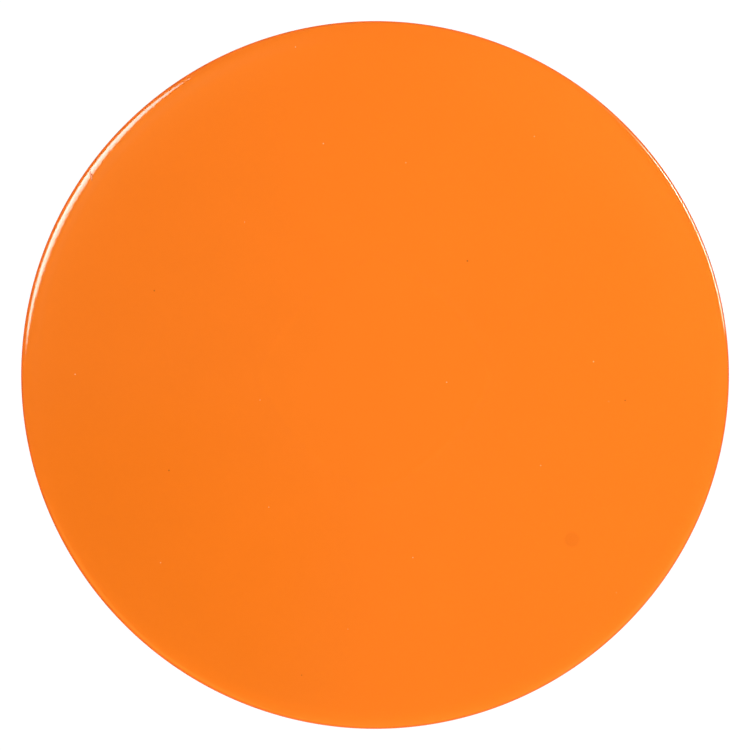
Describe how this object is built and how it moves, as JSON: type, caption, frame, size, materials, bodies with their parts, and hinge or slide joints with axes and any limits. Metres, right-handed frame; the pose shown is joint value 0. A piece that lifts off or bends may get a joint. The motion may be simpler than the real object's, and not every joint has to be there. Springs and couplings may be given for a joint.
{
  "type": "flying disc",
  "caption": "Round throwing disc with a nearly flat top, a tight rounded shoulder and a deep rim wall, moulded in one piece and open underneath.",
  "frame": {"origin": "on the disc's axis, in the plane of the rim's foot that the disc rests on", "axes": "+Z along the disc's axis, up through the top face; X and Y lie in the rest plane"},
  "size_m": [0.235, 0.235, 0.0275],
  "materials": {
    "disc_plastic": "high gloss orange on the outside, satin on the core side underneath"
  },
  "bodies": {
    "root": {"disc_body": "disc_plastic"}
  },
  "joints": []
}
